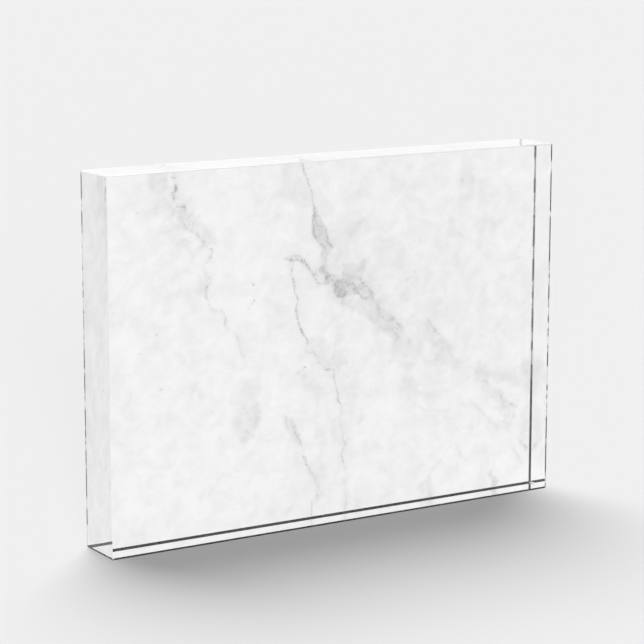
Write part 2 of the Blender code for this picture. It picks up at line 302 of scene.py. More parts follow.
# Small dark specks and spots: x, height, radius and darkness
SPECKS = (
    (-72.6, 112.5, 0.45, 0.18), (-66.1, 71.4, 0.35, 0.34), (-64.3, 52.8, 0.4, 0.26), (-28.8, 85.0, 0.4, 0.45),
    (-28.4, 79.0, 0.4, 0.4), (-8.3, 54.3, 0.45, 0.42), (12.7, 99.9, 0.4, 0.14), (-72.0, 65.4, 0.6, 0.1),
    (65.3, 47.8, 0.8, 0.09), (56.8, 114.8, 0.8, 0.1), (-41.2, 110.2, 0.4, 0.07), (-51.8, 107.5, 0.5, 0.12),
    (-52.2, 105.0, 0.6, 0.1), (-50.2, 103.9, 0.6, 0.11), (-48.4, 102.0, 0.6, 0.09), (-47.4, 101.0, 0.6, 0.1),
    (-47.8, 99.7, 0.6, 0.1), (-46.3, 98.6, 0.5, 0.09), (-44.7, 98.5, 0.6, 0.14), (-44.6, 97.0, 0.5, 0.09),
    (-45.2, 95.4, 0.6, 0.12), (-60.1, 117.6, 0.4, 0.14), (-43.4, 76.8, 0.7, 0.1), (-30.7, 76.8, 0.8, 0.06),
    (13.5, 86.0, 0.6, 0.08), (11.0, 86.3, 0.8, 0.06), (84.2, 33.8, 0.5, 0.07),
    (-42.5, 33.1, 0.9, 0.06), (-37.1, 7.8, 0.6, 0.1), (-45.3, 42.4, 1.0, 0.06), (-31.6, 34.0, 0.8, 0.1),
    (-32.9, 42.4, 0.7, 0.07), (25.0, 12.9, 1.1, 0.07), (-56.1, 60.6, 0.9, 0.05), (82.5, 88.6, 0.8, 0.06),
    (-11.3, 52.4, 0.8, 0.08), (76.0, 78.5, 0.7, 0.04), (69.3, 63.6, 1.0, 0.05), (-77.6, 80.2, 1.0, 0.06),
    (-82.0, 79.8, 0.7, 0.05), (-36.2, 23.1, 0.8, 0.04), (-35.4, 20.6, 0.9, 0.05), (-72.0, 5.2, 0.6, 0.05),
    (-50.5, 7.8, 0.7, 0.05), (71.0, 108.3, 0.9, 0.04),
)

# Grey fields with clear borders: darkness, how soft the border is, and the outline as x and height
FIELDS = (
    # top left: a block beside the edge, the feather and the patches below it
    (0.075, 0.8, ((-68.6, 128), (-60.4, 128), (-60.4, 116), (-66.8, 116), (-67.6, 121))),
    (0.055, 0.8, ((-66.8, 116), (-60.4, 116), (-57.5, 113.4), (-55, 112), (-54, 110), (-58, 104.6),
                  (-61.4, 104), (-64.8, 104.6), (-65.4, 107.6), (-62, 110.4), (-66, 112))),
    (0.08, 0.7, ((-57.5, 112.5), (-55.5, 112.4), (-52, 110.6), (-50, 110), (-47.5, 107.2), (-45.4, 103.8),
                 (-43.6, 100.7), (-43.4, 99.3), (-46.4, 100.2), (-48.6, 100.4), (-50.4, 103), (-52.4, 104.6),
                 (-54.6, 106), (-56.4, 107.8), (-58.4, 110))),
    (0.065, 0.8, ((-58.4, 103.4), (-54.4, 103.2), (-53.4, 100.4), (-51.2, 96.4), (-51.6, 94.8),
                  (-54.4, 97.6), (-57.4, 98.6), (-58.6, 100.6))),
    (0.04, 0.8, ((-51.6, 99.6), (-49.4, 99.6), (-49.4, 97), (-51.6, 97))),
    (0.065, 0.8, ((-49.4, 89.8), (-47, 90.4), (-45.2, 88), (-45.2, 86.4), (-46.8, 85.4), (-47.2, 83),
                  (-49.6, 83.6), (-50.4, 86.4))),
    # left: beside the faint vein, and the patches below it
    (0.045, 1.0, ((-34.6, 66.8), (-32.4, 65.6), (-29.8, 63.6), (-29.6, 60), (-31.6, 58.4), (-34, 60))),
    (0.07, 0.9, ((-53.2, 54.4), (-50.4, 54.2), (-49.2, 51.8), (-49.6, 49.8), (-52.4, 50), (-53, 52))),
    (0.05, 0.9, ((-53.4, 50), (-52, 49.8), (-52, 46.6), (-53.6, 43), (-56, 43.4), (-56, 47.2))),
    (0.05, 0.8, ((-49.4, 49.4), (-46.8, 48.8), (-46.8, 47.4), (-49, 47.6))),
    (0.06, 1.2, ((-37, 50), (-34, 51.4), (-29.6, 50.4), (-27.2, 45), (-27, 38), (-28.6, 32), (-31.6, 29.6),
                 (-35.2, 31.6), (-37, 36.4), (-35.6, 41), (-38, 44.6))),
    (0.05, 0.9, ((-31, 42.6), (-27.4, 43), (-27.4, 36), (-29.4, 31.2), (-32.4, 31.6), (-32.6, 35))),
    # top middle, left of the main vein
    (0.05, 0.9, ((-20, 128), (-9.8, 128), (-8.6, 121.4), (-6.2, 116.6), (-5.2, 112), (-5.2, 109.6),
                 (-9.5, 109.2), (-13.5, 111.4), (-18.4, 110.6), (-21.6, 113), (-20.4, 118), (-19, 122))),
    # lens of the main vein, the column under it, and the grey on their right
    (0.15, 0.5, ((-4.7, 110), (-3.4, 107.5), (-2.2, 105), (-0.5, 102), (0.3, 100), (1.2, 98), (2.6, 95.2),
                 (0.2, 95.6), (-1.2, 95), (-2.2, 96), (-4.2, 99.2), (-5.1, 101.6), (-5.2, 104),
                 (-4.9, 106.5))),
    (0.1, 0.6, ((-2.2, 96.4), (0.7, 96.2), (0.9, 92), (0.7, 88), (-1.8, 88), (-1.8, 92))),
    (0.05, 1.0, ((0.7, 98), (3, 98), (7, 96), (7.4, 91), (6.6, 88), (0.7, 87.4))),
    # knot, its even dark block, its left lobe, the grey above it and on its right
    (0.1, 0.7, ((-1, 84.5), (1, 86.5), (3.5, 86), (6, 85), (9, 85), (12, 84.5), (15, 84.3), (16, 82),
                (18.5, 79.5), (20.3, 76.5), (19.5, 75), (16, 75.8), (12.5, 77), (8.5, 76.8), (5, 78),
                (3, 80.5), (1, 82.8))),
    (0.11, 0.35, ((3.3, 82.6), (5, 83.4), (7.4, 83.2), (8.6, 82), (8.2, 80.4), (8.6, 78.8), (7.9, 77.8),
                  (6.6, 77.4), (5.2, 77.8), (4.2, 78), (3.9, 79.6), (3.3, 81.2))),
    (0.06, 0.7, ((-4, 88), (1, 88.4), (1.4, 84), (0, 82.4), (-2.6, 82.4), (-3.6, 84))),
    (0.085, 0.6, ((5.8, 90), (9, 89.6), (12, 89.2), (15.2, 89), (15.6, 84), (12, 83), (6, 84))),
    (0.05, 1.1, ((15.4, 89), (18.6, 89.4), (22.6, 83), (26, 76), (28.8, 70.4), (26.6, 69.4), (23, 72),
                 (20.4, 76), (17.6, 80.4), (15.6, 84))),
    (0.035, 1.0, ((-0.6, 83), (2.6, 80.6), (4.6, 77.4), (9, 75.4), (8, 73.4), (3.4, 76), (0, 80))),
    # diagonal band below the knot
    (0.085, 0.9, ((4.5, 79), (6.3, 76.5), (9, 73.6), (12, 71.4), (15.4, 69.4), (18.2, 67.4), (20, 65.1),
                  (21.1, 62.8), (23.5, 62.2), (27, 60.7), (31, 60), (32.5, 63.5), (31, 67), (27.5, 69),
                  (24.5, 70.5), (22.5, 74), (20.3, 75.6), (14, 76.5), (9, 77.5))),
    # between the thin vein and the pair of faint lines
    (0.05, 0.7, ((-7, 60.3), (-5.3, 63.3), (-2.5, 64.5), (0.3, 63), (1.2, 57), (1.6, 53), (-0.5, 53.5),
                 (-3, 56.5))),
    (0.06, 0.8, ((2, 57), (5, 58.5), (8.5, 57), (9.5, 54), (6, 52.5), (3, 53))),
    (0.05, 1.0, ((-10, 51), (-8, 52.6), (-6.6, 49), (-2, 48.4), (-1.6, 43), (-4, 41.4), (-7.4, 44),
                 (-9.4, 47))),
    # beside the lower vein
    (0.055, 0.7, ((-17, 37.6), (-13, 37.5), (-11.5, 33), (-9.5, 29), (-10, 27), (-12.5, 29), (-15.5, 32.5))),
    (0.045, 1.2, ((-6, 17), (-3.6, 19.6), (-2.8, 26), (-0.8, 26), (-0.4, 18), (0.4, 12), (0.6, 7.6),
                  (-2.4, 7.4), (-4.4, 12))),
    (0.06, 0.8, ((-4.8, 32), (-3, 34.6), (-0.8, 34.6), (-0.8, 28.2), (-5, 28.4))),
    (0.06, 0.9, ((2, 33.4), (6, 35), (9.6, 33), (9.6, 25), (7.4, 23.6), (4, 25), (2.4, 28))),
    (0.075, 0.9, ((12, 33), (13.6, 36.8), (15.6, 36), (15, 32), (12.8, 31.4))),
    (0.05, 0.8, ((6.6, 12), (9.6, 12), (10.2, 4), (9.4, -1), (6.6, -1), (7.2, 6))),
    # middle right: wedge with a clear right border, and the pale grey on its left
    (0.065, 0.6, ((42.6, 66.5), (44.4, 65.2), (46, 61.5), (48.8, 59.3), (51.6, 55.8), (54.5, 53.6),
                 (56.2, 51), (58.6, 47.2), (56, 46.2), (52.5, 47), (48.6, 48), (47.6, 52), (45.4, 55),
                 (43, 58.5), (41.6, 62))),
    (0.045, 1.2, ((31, 66), (35, 65), (41, 66), (43, 61), (48, 57), (49.5, 51.5), (45, 49), (40, 51),
                  (36, 48.6), (31, 49), (27, 54), (26.6, 59))),
    (0.025, 1.4, ((26, 60), (32, 61), (38, 56), (37, 49), (31, 49), (26.6, 53))),
    (0.05, 0.9, ((45, 52.6), (47.4, 51.8), (48.2, 48), (49.4, 45.6), (47.2, 44.4), (46, 48))),
    (0.055, 1.1, ((29.6, 43), (33, 46), (37, 45), (40, 42.4), (41, 39.4), (38, 37.6), (33, 37.4), (30, 39))),
    (0.025, 1.2, ((40, 40), (50, 40.6), (54, 37.4), (54, 33), (48, 31.8), (42, 34))),
    # lower right: the broad field, the strip under the vein and the fan
    (0.065, 0.9, ((62.5, 46), (66, 44), (68, 41), (73, 40.6), (77, 39.2), (81.5, 36.6), (85.5, 34), (90, 33),
                  (90, 48), (84, 46), (80, 42.5), (72, 43.5))),
    (0.045, 0.9, ((62.4, 48), (66.4, 48.6), (69, 46.4), (68.4, 42.6), (65.6, 40.6), (63.4, 43))),
    (0.075, 0.6, ((66, 39), (68.5, 39.6), (71, 38.8), (73, 36.6), (75.6, 35), (76.4, 33), (80.6, 31),
                  (79, 30), (76, 30.4), (74.4, 30.6), (72, 33), (69, 35.4))),
    (0.06, 0.7, ((74.6, 31), (81.6, 30), (81.8, 25.6), (79.4, 25.2), (79.6, 21.4), (76.4, 21.4), (75.8, 25))),
    (0.045, 0.9, ((68.6, 27.6), (72, 25.6), (75, 24.6), (78, 23.6), (80, 21), (78, 20.4), (74.4, 20.6),
                  (72, 23))),
    (0.03, 1.0, ((59, 33.8), (63, 33.8), (65.8, 31.8), (64.8, 30.8), (60, 31.8))),
    (0.045, 0.9, ((85, 48), (90, 48), (90, 30.6), (86.4, 31), (85.6, 38))),
    (0.055, 0.9, ((84.2, 29.4), (90, 30), (90, 19), (84.5, 19.6))),
    (0.05, 1.0, ((82, 18.6), (90, 19), (90, 13), (84, 16))),
    # marks at the foot
    (0.09, 0.6, ((41, 7), (43.6, 8.4), (45.6, 6.8), (45.4, -1), (38.8, -1))),
    (0.2, 0.6, ((70.2, 6), (71.5, 6.3), (73, 4.5), (73.6, 1.5), (72.5, 0.6), (71, 1), (70.6, 3.5))),
    # upper right: rings, blocks and the smoke beside the lens
    (0.04, 1.0, ((50.6, 102.4), (54, 101), (55, 97.6), (52.6, 95), (50.6, 97))),
    (0.045, 1.1, ((67.4, 99), (71, 100.6), (77.8, 100.2), (76, 97.4), (70, 96.2))),
    (0.05, 0.8, ((42, 74.8), (47.6, 74.6), (47.6, 70.8), (43, 71))),
    (0.05, 1.0, ((64, 69.8), (68.6, 69.4), (68.4, 66), (64.6, 65.6))),
    (0.035, 0.8, ((72.7, 54.2), (76, 54), (76, 51), (72.8, 51.2))),
    (0.06, 0.8, ((33, 81.8), (36.4, 83.2), (37.6, 81.6), (34.6, 80.2))),
    (0.04, 0.9, ((37.3, 81), (38.6, 81), (38.4, 71), (37.2, 71))),
    (0.045, 1.2, ((20, 95), (29, 97.6), (33, 92), (32, 84), (26, 84.6), (21, 88))),
    (0.05, 1.0, ((26.6, 118.6), (30.6, 117), (35, 114), (33, 111.6), (27, 112.4))),
    (0.03, 1.2, ((2, 107), (9.6, 108), (9.8, 100), (8, 92), (5.6, 92), (4, 100))),
)

# Soft grey clouds: x, height, two radii, tilt in degrees and darkness
CLOUDS = (
    (-67.0, 105.0, 3.0, 3.4, 0, 0.03), (-54.5, 98.0, 3.5, 3.0, 0, 0.015), (-58.8, 90.8, 2.6, 1.6, 0, 0.05),
    (-54.0, 92.2, 2.2, 1.7, 0, 0.07), (-64.0, 93.0, 2.0, 7.0, 0, 0.02), (-62.0, 83.0, 7.0, 3.0, 0, 0.02),
    (-52.5, 100.0, 2.5, 4.0, 0, 0.03), (-29.0, 36.0, 2.0, 5.0, 0, 0.03), (-52.0, 49.0, 2.5, 3.0, 0, 0.03),
    (36.0, 66.0, 3.0, 2.6, 0, 0.05), (7.5, 38.0, 5.0, 5.0, 0, 0.025), (-10.0, 20.5, 2.0, 3.0, 0, 0.035),
    (-3.0, 22.0, 2.0, 2.0, 0, 0.02), (-4.2, 101.5, 1.4, 4.0, 8, 0.08), (-2.4, 97.0, 2.2, 5.0, 12, 0.04),
    (-0.6, 92.0, 2.6, 3.6, 0, 0.05),
    (5.6, 78.0, 3.4, 2.4, -30, 0.06), (-61.6, 121.0, 1.8, 2.4, 0, 0.05), (-53.6, 102.4, 2.0, 2.0, 0, 0.03),
    (-53.6, 91.0, 2.0, 3.0, 0, 0.03), (9.4, 91.6, 2.0, 2.0, 0, 0.04), (52.4, 45.8, 2.4, 1.8, 0, 0.025),
    (24.8, 61.6, 2.0, 1.6, 0, 0.04), (58.0, 93.6, 3.0, 2.0, 0, 0.03), (36.4, 78.6, 1.6, 3.0, 0, 0.03),
    (84.0, 35.0, 3.0, 4.0, 0, 0.03), (84.0, 20.0, 3.0, 5.0, 0, 0.03), (1.6, 52.0, 1.4, 2.0, 0, 0.05),
    (-61.6, 82.8, 1.6, 1.8, 0, 0.035), (-53.0, 83.6, 3.4, 2.4, 0, 0.035), (-66.4, 75.0, 2.4, 1.6, 0, 0.03),
    (-62.4, 74.0, 2.4, 1.2, 0, 0.03), (-78.0, 80.0, 2.0, 1.4, 0, 0.03), (-41.4, 68.0, 2.6, 2.6, 0, 0.02),
    (-57.6, 63.4, 1.0, 1.2, 0, 0.03), (-76.0, 52.0, 1.8, 1.0, 0, 0.035), (-79.4, 61.2, 1.0, 1.4, 0, 0.03),
    (-75.6, 32.8, 1.8, 0.9, 0, 0.035), (-75.5, 6.7, 1.0, 1.6, 0, 0.03), (-72.9, 18.6, 0.6, 2.4, 0, 0.03),
    (-45.6, 17.4, 0.7, 1.4, 0, 0.04), (-28.0, 51.0, 2.6, 3.4, 30, 0.03), (-26.0, 112.0, 2.6, 1.8, 0, 0.025),
    (-17.0, 122.4, 2.2, 1.8, 0, 0.03), (-14.0, 115.2, 3.0, 1.8, 0, 0.025), (-22.5, 95.0, 3.0, 7.0, 0, 0.015),
    (-18.0, 72.0, 5.0, 4.0, 0, 0.025), (-10.5, 72.0, 3.0, 12.0, 8, 0.02), (-11.5, 89.0, 5.0, 3.0, 20, 0.015),
    (-16.6, 12.6, 1.8, 1.6, 0, 0.04), (1.4, 104.0, 2.6, 9.0, 14, 0.025), (9.0, 96.0, 1.4, 5.6, -6, 0.04),
    (5.2, 116.0, 1.2, 4.0, 0, 0.035), (14.4, 112.4, 1.8, 1.2, -15, 0.045), (16.8, 114.0, 1.6, 1.2, 0, 0.04),
    (15.6, 118.6, 1.4, 1.4, 0, 0.03), (12.6, 122.0, 2.0, 2.4, 0, 0.025), (24.0, 121.0, 6.0, 5.0, 0, 0.02),
    (34.6, 121.6, 2.0, 2.6, 0, 0.03), (9.5, 81.0, 9.0, 5.0, -24, 0.03), (31.4, 75.4, 1.3, 1.3, 0, 0.06),
    (60.0, 112.0, 8.0, 6.0, -10, 0.035), (56.8, 116.6, 1.2, 2.2, 0, 0.05), (61.2, 114.0, 1.8, 2.4, 0, 0.04),
    (60.4, 108.9, 2.6, 1.4, 0, 0.05), (72.8, 103.0, 1.8, 1.6, 0, 0.025), (63.2, 91.8, 2.4, 1.4, 0, 0.03),
    (66.4, 73.8, 1.4, 1.0, 0, 0.035), (76.6, 58.2, 0.6, 1.2, 0, 0.04), (59.6, 76.0, 0.9, 4.6, 0, 0.025),
    (86.2, 74.0, 2.6, 12.0, 0, 0.035), (85.0, 45.0, 2.4, 4.6, 0, 0.01),
    (62.2, 23.0, 1.2, 2.6, 0, 0.035), (22.4, 12.6, 3.6, 2.0, 0, 0.03), (36.0, 15.5, 1.6, 2.0, 0, 0.03),
    (13.2, 3.6, 1.8, 1.2, 0, 0.03), (-1.6, 20.0, 1.4, 2.4, 0, 0.03), (56.2, 10.0, 1.0, 0.9, 0, 0.035),
    (51.6, 9.6, 1.4, 1.0, 0, 0.03), (-58.4, 115.0, 2.6, 7.0, -4, 0.06), (-12.6, 93.2, 2.6, 2.0, 0, 0.03),
    (-12.0, 82.0, 4.0, 5.0, 0, 0.025), (8.0, 44.0, 5.0, 9.0, 15, 0.035), (-8.0, 51.0, 3.0, 2.6, 0, 0.03),
    (0.0, 52.0, 8.0, 6.0, 0, 0.02), (-12.6, 30.0, 3.0, 5.0, 20, 0.025), (-9.4, 21.0, 2.4, 3.6, 10, 0.025),
    (35.0, 80.0, 12.0, 7.0, -10, 0.02), (13.0, 106.0, 5.0, 12.0, 20, 0.02), (-7.0, 117.0, 8.0, 8.0, 0, 0.012),
    (73.0, 50.0, 4.0, 3.0, 0, 0.025),
)

# Broad veils and small cells, some of them lighter than the rest of the stone
VEILS = (
    (2.8, 79.6, 0.6, 1.6, 15, -0.08), (8.9, 80.1, 0.9, 0.5, 0, -0.1), (13.2, 81.8, 1.6, 0.6, -30, -0.08),
    (-1.8, 98.8, 0.8, 0.9, 0, -0.05), (-89.0, 60.0, 5.0, 80.0, 0, 0.022), (2.6, 70.0, 4.0, 4.6, 0, -0.03),
    (-57.0, 108.4, 2.6, 2.6, 40, -0.03), (23.0, 89.0, 3.0, 5.0, 0, -0.022), (51.5, 53.5, 6.0, 2.4, -50, 0.03),
    (16.4, 56.0, 2.4, 2.6, 0, -0.03), (20.0, 72.6, 2.6, 1.6, 0, -0.02), (47.0, 53.6, 2.2, 2.6, 0, -0.02),
    (41.6, 52.0, 2.0, 4.0, 0, -0.02), (32.4, 45.6, 2.4, 1.8, 0, -0.03), (-60.6, 49.4, 2.4, 4.0, 0, -0.025),
    (-68.6, 73.0, 3.0, 5.0, 0, -0.02), (-70.0, 18.0, 5.0, 7.0, 0, -0.014), (-44.0, 12.0, 3.0, 4.0, 0, -0.02),
    (50.0, 84.0, 42.0, 42.0, 0, 0.042), (2.0, 70.0, 18.0, 52.0, 0, 0.026),
    (-58.0, 15.0, 30.0, 15.0, 0, -0.03), (-52.0, 12.0, 8.0, 6.0, 0, -0.01),
    (-74.0, 96.0, 9.0, 10.0, 0, -0.016), (-80.0, 122.0, 5.0, 6.0, 0, -0.022),
    (-46.0, 108.0, 9.0, 12.0, 0, -0.006), (-33.5, 93.0, 3.6, 8.0, 0, -0.014),
    (-78.0, 72.0, 4.0, 4.0, 0, -0.02), (-25.0, 16.0, 12.0, 9.0, 0, -0.016), (9.0, 5.0, 4.0, 4.0, 0, -0.025),
    (24.0, 34.0, 9.0, 7.0, 0, -0.022), (26.0, 12.0, 9.0, 9.0, 0, -0.016), (50.0, 111.0, 4.0, 3.4, 0, -0.025),
    (80.0, 122.0, 7.0, 10.0, 0, -0.012), (70.0, 85.0, 5.0, 6.0, 0, -0.02), (27.0, 105.0, 5.0, 6.0, 0, -0.014),
    (-61.0, 48.0, 4.0, 3.0, 0, -0.01), (50.0, 40.0, 30.0, 16.0, 0, 0.012), (84.0, 45.0, 2.0, 2.6, 0, -0.03),
)

# Patches of dark grains
GRAINS = (
    (5.0, 81.4, 4.6, 2.8, -24, 0.07), (12.0, 80.2, 5.0, 2.2, -20, 0.08), (17.2, 78.6, 3.4, 2.2, -40, 0.06),
    (1.2, 85.0, 2.2, 1.6, 20, 0.1), (11.5, 87.0, 4.4, 2.6, 0, 0.05), (27.4, 66.6, 3.6, 3.0, -40, 0.05),
    (-2.8, 102.4, 1.6, 4.6, 16, 0.04), (-50.6, 104.6, 2.4, 6.4, 40, 0.04), (-58.6, 118.4, 1.2, 2.4, 0, 0.08),
    (-46.8, 86.0, 2.4, 3.4, 0, 0.04), (22.0, 72.0, 2.5, 3.0, 0, 0.05), (-57.0, 106.0, 4.0, 7.0, 0, 0.03),
    (-12.0, 88.0, 5.0, 5.0, 0, 0.02), (47.0, 60.0, 8.0, 6.0, -50, 0.02),
)


def link(obj):
    bpy.context.scene.collection.objects.link(obj)
    return obj


def add(tree, kind, inputs=None, **settings):
    """Adds a node, with its settings, and fills its inputs with values or with other nodes' outputs."""
    made = tree.nodes.new(kind)
    for name, value in settings.items():
        setattr(made, name, value)
    for name, value in (inputs or {}).items():
        if isinstance(value, bpy.types.NodeSocket):
            tree.links.new(value, made.inputs[name])
        else:
            made.inputs[name].default_value = value
    return made


def calc(tree, operation, first, second=0.0, clamp=False):
    made = add(tree, "ShaderNodeMath", {0: first, 1: second}, operation=operation, use_clamp=clamp)
    return made.outputs[0]


def calc_vector(tree, operation, first, second=(0.0, 0.0, 0.0)):
    made = add(tree, "ShaderNodeVectorMath", {0: first, 1: second}, operation=operation)
    return made.outputs["Value"] if operation == "LENGTH" else made.outputs["Vector"]


def scaled(tree, vector, factor):
    made = add(tree, "ShaderNodeVectorMath", {0: vector, "Scale": factor}, operation="SCALE")
    return made.outputs["Vector"]


def ramp(tree, value, low, high, low_to=0.0, high_to=1.0):
    """The value, led in a straight line from one range to another and held at its ends."""
    made = add(tree, "ShaderNodeMapRange", {
        "Value": value, "From Min": low, "From Max": high, "To Min": low_to, "To Max": high_to,
    })
    return made.outputs["Result"]


def grey_colour(tree, tone):
    return add(tree, "ShaderNodeCombineColor", {0: tone, 1: tone, 2: tone}).outputs[0]


def new_material(name, **values):
    """A Principled finish whose constant values are set on its own sockets."""
    made = bpy.data.materials.new(name)
    made.use_nodes = True
    shader = made.node_tree.nodes["Principled BSDF"]
    for key, value in values.items():
        shader.inputs[key.replace("_", " ")].default_value = value
    return made, made.node_tree, shader


def millimetres(tree):
    place = add(tree, "ShaderNodeTexCoord").outputs["Object"]
    return scaled(tree, place, 1 / MM)


def cloudy(tree, place, size, detail=2.0, roughness=0.5, distortion=0.0, output="Factor"):
    """Noise from 0 to 1 whose lumps are about the given size in millimetres."""
    made = add(tree, "ShaderNodeTexNoise", {
        "Vector": place, "Scale": 1.0 / size, "Detail": detail, "Roughness": roughness,
        "Distortion": distortion,
    })
    return made.outputs["Color" if output == "Color" else 0]


def make_camera():
    data = bpy.data.cameras.new("photo_camera")
    data.sensor_width = SENSOR_WIDTH
    data.lens = FOCAL_PIXELS / PICTURE_PIXELS * SENSOR_WIDTH
    data.clip_start, data.clip_end = CLIP_RANGE
    camera = link(bpy.data.objects.new("photo_camera", data))
    azimuth, elevation = math.radians(CAMERA_AZIMUTH), math.radians(CAMERA_ELEVATION)
    back = Vector((
        math.sin(azimuth) * math.cos(elevation),
        -math.cos(azimuth) * math.cos(elevation),
        math.sin(elevation),
    ))
    right = Vector((0, 0, 1)).cross(back).normalized()
    up = back.cross(right)
    turn = Matrix((right, up, back)).transposed() @ Matrix.Rotation(math.radians(CAMERA_ROLL), 3, "Z")
    camera.matrix_world = Matrix.Translation(CAMERA_PLACE) @ turn.to_4x4()
    bpy.context.scene.camera = camera


def make_lamp(name, azimuth, elevation, angle, share):
    """A wide, soft sun that gives the open floor its share of the light."""
    turn, rise = math.radians(azimuth), math.radians(elevation)
    data = bpy.data.lights.new(name, "SUN")
    data.energy = share * math.pi / math.sin(rise)
    data.angle = math.radians(angle)
    lamp = link(bpy.data.objects.new(name, data))
    towards = Vector((math.sin(turn) * math.cos(rise), math.cos(turn) * math.cos(rise), math.sin(rise)))
    lamp.rotation_mode = "QUATERNION"
    lamp.rotation_quaternion = towards.to_track_quat("Z", "Y")
    lamp.visible_transmission = False


def make_world():
    """Even sky light; the camera sees pale grey, gloss sees a bright sky, and clear parts a dark ceiling."""
    world = bpy.data.worlds.new("studio")
    bpy.context.scene.world = world
    world.use_nodes = True
    tree = world.node_tree
    tree.nodes.clear()
    path = add(tree, "ShaderNodeLightPath")
    direction = add(tree, "ShaderNodeTexCoord").outputs["Generated"]
    height = add(tree, "ShaderNodeSeparateXYZ", {0: direction}).outputs["Z"]
    ceiling = ramp(tree, height, CEILING_STARTS, CEILING_FULL, PALE_GREY, DARK_CEILING)
    grey = ramp(tree, path.outputs["Is Glossy Ray"], 0.0, 1.0, PALE_GREY, BRIGHT_SKY)
    seen_grey = add(tree, "ShaderNodeMix", {0: path.outputs["Is Transmission Ray"], 2: grey, 3: ceiling})
    seen = calc(tree, "MAXIMUM", path.outputs["Is Camera Ray"], path.outputs["Is Glossy Ray"])
    seen = calc(tree, "MAXIMUM", seen, path.outputs["Is Transmission Ray"])
    strength = add(tree, "ShaderNodeMix", {0: seen, 2: SKY_SHARE, 3: seen_grey.outputs[0]})
    light = add(tree, "ShaderNodeBackground", {"Color": (1, 1, 1, 1), "Strength": strength.outputs[0]})
    add(tree, "ShaderNodeOutputWorld", {"Surface": light.outputs[0]})


def floor_paint():
    """Pale matte paint; light that bounces off it is even, so the block's shadow doesn't dim the print."""
    grey = (FLOOR_GREY, FLOOR_GREY, FLOOR_GREY, 1)
    made, tree, shader = new_material("floor_paint", Base_Color=grey, Roughness=1.0, Specular_IOR_Level=0.0)
    even = add(tree, "ShaderNodeEmission", {"Color": grey, "Strength": 1.0})
    bounced = add(tree, "ShaderNodeLightPath").outputs["Is Diffuse Ray"]
    mixed = add(tree, "ShaderNodeMixShader", {0: bounced, 1: shader.outputs[0], 2: even.outputs[0]})
    tree.links.new(mixed.outputs[0], tree.nodes["Material Output"].inputs["Surface"])
    return made


def make_floor():
    shape = bmesh.new()
    bmesh.ops.create_circle(shape, cap_ends=True, segments=FLOOR_CORNERS, radius=FLOOR_RADIUS)
    mesh = bpy.data.meshes.new("floor")
    shape.to_mesh(mesh)
    shape.free()
    mesh.materials.append(floor_paint())
    floor = link(bpy.data.objects.new("floor", mesh))
    floor.location.z = -FLOOR_GAP


def clear_finish(name, tint, gloss=1.0, roughness=0.0, ior=CLEAR_IOR):
    """Clear plastic that lets the lamps' light through to the print without bending it."""
    made, tree, shader = new_material(
        name,
        Base_Color=(tint, tint, tint, 1),
        Roughness=roughness,
        IOR=ior,
        Transmission_Weight=1.0,
        Specular_Tint=(gloss, gloss, gloss, 1),
    )
    shadow = add(tree, "ShaderNodeLightPath").outputs["Is Shadow Ray"]
    open_way = add(tree, "ShaderNodeBsdfTransparent")
    mixed = add(tree, "ShaderNodeMixShader", {0: shadow, 1: shader.outputs[0], 2: open_way.outputs[0]})
    tree.links.new(mixed.outputs[0], tree.nodes["Material Output"].inputs["Surface"])
    return made


def facet_finish():
    """Edge facets with painted shade and painted dark reflections, each as dark or as clear as its place on
    the slab makes it look.
    """
    made = clear_finish("edge_facets", 1.0, roughness=FACET_ROUGHNESS)
    tree = made.node_tree
    shader = tree.nodes["Principled BSDF"]
    place = millimetres(tree)
    shade = add(tree, "ShaderNodeAttribute", attribute_name="painted_edge_shade").outputs["Vector"]
    kinds = add(tree, "ShaderNodeSeparateXYZ", {0: shade})
    height = add(tree, "ShaderNodeSeparateXYZ", {0: place}).outputs["Z"]
    dashes = ramp(tree, cloudy(tree, place, *DASH_NOISE), *DASH_RAMP)
    foot = ramp(tree, height, FOOT_FULL, FOOT_ENDS, 1.0, 0.0)
    dark = calc(tree, "ADD", kinds.outputs["X"], calc(tree, "MULTIPLY", kinds.outputs["Y"], dashes))
    dark = calc(tree, "ADD", dark, calc(tree, "MULTIPLY", kinds.outputs["Z"], foot), clamp=True)
    # Uneven tone of the painted shade on the dark facets
    shade_mottle = ramp(tree, cloudy(tree, place, *PAINTED_SHADE_NOISE), *PAINTED_SHADE_RAMP)
    tone = add(tree, "ShaderNodeMix", {0: dark, 2: 1.0, 3: calc(tree, "MULTIPLY", shade_mottle, FACET_GREY)})
    tree.links.new(grey_colour(tree, tone.outputs[0]), shader.inputs["Base Color"])
    tree.links.new(calc(tree, "SUBTRACT", 1.0, dark), shader.inputs["Transmission Weight"])
    return made


def facing_sides(normal):
    """The sides that a face of the slab looks to, the one it looks to most first."""
    order = sorted(range(3), key=lambda axis: -abs(normal[axis]))
    return [SIDES[axis][normal[axis] > 0] for axis in order if abs(normal[axis]) > LEANING]


def facet_shade(normal):
    """How dark a facet is; at a corner, the darkest of the edges that meet there."""
    shades = [EDGE_SHADES.get(pair, CLEAR) for pair in combinations(facing_sides(normal), 2)]
    return Vector(max(values) for values in zip(*shades))


def cut(shape, place, normal):
    """Divides the faces along a plane, and keeps both sides."""
    everything = list(shape.verts) + list(shape.edges) + list(shape.faces)
    bmesh.ops.bisect_plane(shape, geom=everything, plane_co=place, plane_no=normal)
    shape.normal_update()


def strip_plane(low, high, beside, width):
    """A point and the outward normal of the plane that cuts a strip off the flat faces along one side."""
    axis = next(index for index, pair in enumerate(SIDES) if beside in pair)
    outward = 1 if beside == SIDES[axis][1] else -1
    normal = Vector((0, 0, 0))
    normal[axis] = outward
    return (high if outward > 0 else low) - normal * (EDGE_WIDTH + width), normal


